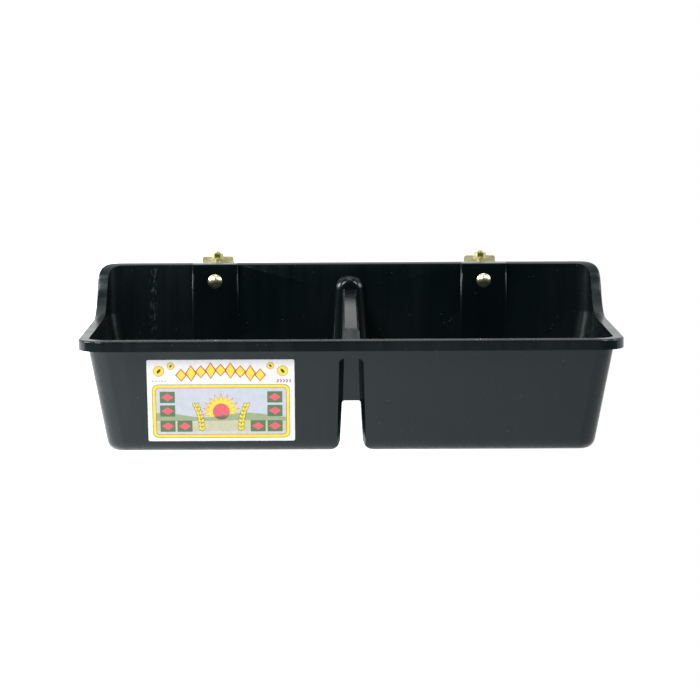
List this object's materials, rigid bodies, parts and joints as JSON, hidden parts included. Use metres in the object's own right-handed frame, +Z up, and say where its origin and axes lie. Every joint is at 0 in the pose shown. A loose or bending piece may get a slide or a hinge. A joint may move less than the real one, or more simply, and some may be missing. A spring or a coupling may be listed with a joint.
{
  "type": "hook-over feeder",
  "caption": "Long moulded trough of two tubs under one rim, with adjustable steel hooks that clamp over a fence rail behind its high back wall.",
  "frame": {"origin": "under the middle of the assembly's box, on the surface that the two tubs stand on", "axes": "+X along the trough to the right, +Y from the front rim to the hooks, +Z up"},
  "size_m": [0.61, 0.347, 0.198],
  "materials": {
    "black_polyethylene": "moulded, slightly waxy gloss",
    "zinc_steel_strap": "pale yellow zinc plate",
    "yellow_zinc_steel": "yellow zinc plate",
    "printed_label": "printed film"
  },
  "bodies": {
    "trough_body": {"trough": "black_polyethylene", "front_label": "printed_label", "left_wall_bracket": "zinc_steel_strap", "left_wall_bolt": "yellow_zinc_steel", "left_wall_nut": "yellow_zinc_steel", "right_wall_bracket": "zinc_steel_strap", "right_wall_bolt": "yellow_zinc_steel", "right_wall_nut": "yellow_zinc_steel"},
    "left_hook": {"left_hook_leg": "zinc_steel_strap", "left_clamp_bolt": "yellow_zinc_steel"},
    "left_nut": {"left_clamp_nut": "yellow_zinc_steel"},
    "right_hook": {"right_hook_leg": "zinc_steel_strap", "right_clamp_bolt": "yellow_zinc_steel"},
    "right_nut": {"right_clamp_nut": "yellow_zinc_steel"}
  },
  "joints": [
    {"name": "left_hook_slide", "type": "slide", "parent": "trough_body", "child": "left_hook", "axis": [0, 1, 0], "range_m": [-0.035, 0]},
    {"name": "left_nut_turn", "type": "hinge", "parent": "left_hook", "child": "left_nut", "pos_m": [-0.163, 0.1545, 0.1877], "axis": [0, 0, 1], "range_deg": [-1440, 720]},
    {"name": "right_hook_slide", "type": "slide", "parent": "trough_body", "child": "right_hook", "axis": [0, 1, 0], "range_m": [-0.035, 0]},
    {"name": "right_nut_turn", "type": "hinge", "parent": "right_hook", "child": "right_nut", "pos_m": [0.163, 0.1545, 0.1877], "axis": [0, 0, 1], "range_deg": [-1440, 720]}
  ]
}
